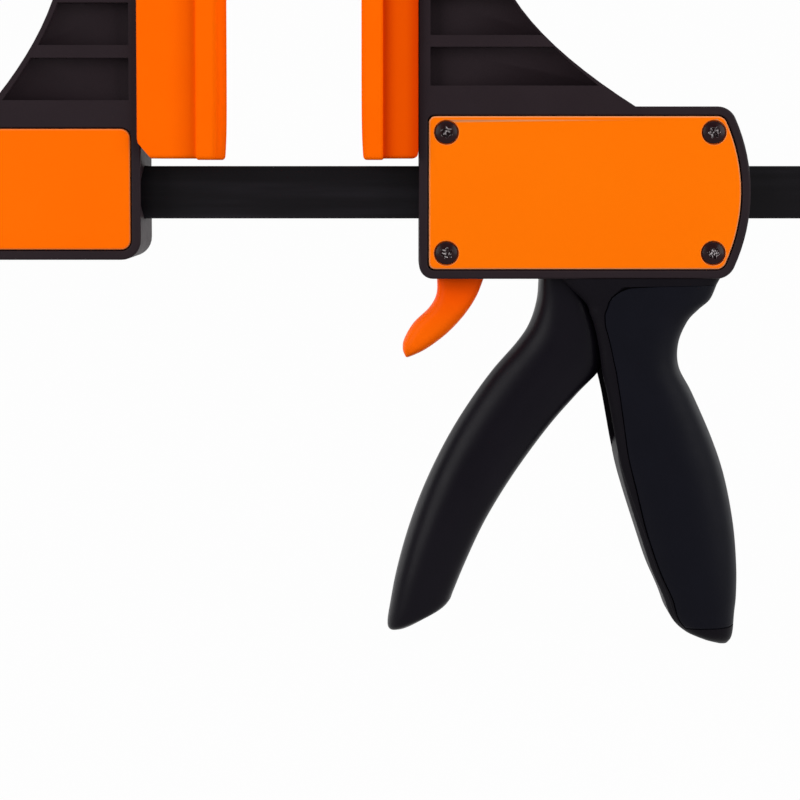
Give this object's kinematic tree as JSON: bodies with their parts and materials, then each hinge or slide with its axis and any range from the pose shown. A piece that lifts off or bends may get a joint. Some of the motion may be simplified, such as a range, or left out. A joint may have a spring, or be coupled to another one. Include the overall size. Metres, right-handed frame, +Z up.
{
  "type": "bar clamp",
  "caption": "One-handed quick release bar clamp: fixed jaw on a flat bar, sliding jaw with squeeze lever, pistol handle and release trigger.",
  "frame": {"origin": "centre of the fixed jaw's clamping face", "axes": "+X along the bar, from the fixed jaw to the bar's free end; +Y across the bar, towards the clamp's back; +Z up the jaws, away from the handle"},
  "size_m": [0.3917, 0.04, 0.2623],
  "materials": {
    "bar_steel": "black oxide, satin",
    "pin_steel": "ground steel",
    "plate_steel": "hardened steel",
    "spring_steel": "drawn wire",
    "black_nylon": "moulded, fine grain",
    "lever_nylon": "moulded, satin",
    "soft_grip": "soft overmould",
    "orange_plate": "smooth satin",
    "orange_nylon": "moulded satin",
    "soft_pad": "soft, matt",
    "black_screw": "black oxide"
  },
  "bodies": {
    "root": {"bar": "bar_steel", "bar_stop_pin": "pin_steel", "fixed_jaw_body": "black_nylon", "fixed_jaw_front_plate": "orange_plate", "fixed_jaw_back_plate": "orange_plate", "fixed_jaw_pad": "soft_pad", "fixed_jaw_rivets": "pin_steel"},
    "carriage": {"carriage_body": "black_nylon", "front_cover_plate": "orange_plate", "back_cover_plate": "orange_plate", "front_cover_screws": "black_screw", "back_cover_screws": "black_screw", "movable_jaw_pad": "soft_pad", "pistol_handle": "black_nylon", "handle_grip": "soft_grip", "lever_pivot_pin": "pin_steel", "drive_spring": "spring_steel", "brake_spring": "spring_steel"},
    "lever": {"squeeze_lever": "lever_nylon", "drive_cam_pin": "pin_steel"},
    "drive": {"drive_plates": "plate_steel"},
    "brake": {"brake_plate": "plate_steel", "release_trigger": "orange_nylon"}
  },
  "joints": [
    {"name": "jaw_slide", "type": "slide", "parent": "root", "child": "carriage", "axis": [1, 0, 0], "range_m": [-0.0505, 0.098]},
    {"name": "lever_squeeze", "type": "hinge", "parent": "carriage", "child": "lever", "pos_m": [0.125, 0, -0.0351], "axis": [0, -1, 0], "range_deg": [0, 15], "stiffness_Nm_per_rad": 2, "springref_deg": -20.05},
    {"name": "drive_slide", "type": "slide", "parent": "carriage", "child": "drive", "axis": [1, 0, 0], "range_m": [0, 0.0092], "deforming": ["drive_spring"]},
    {"name": "trigger_pull", "type": "hinge", "parent": "carriage", "child": "brake", "pos_m": [0.097, 0, -0.0346], "axis": [0, -1, 0], "range_deg": [0, 8], "stiffness_Nm_per_rad": 0.6, "springref_deg": -17.19, "deforming": ["brake_spring"]}
  ],
  "couplings": [
    {"joint": "drive_slide", "follows": "lever_squeeze", "m_per_rad": 0.0345}
  ]
}
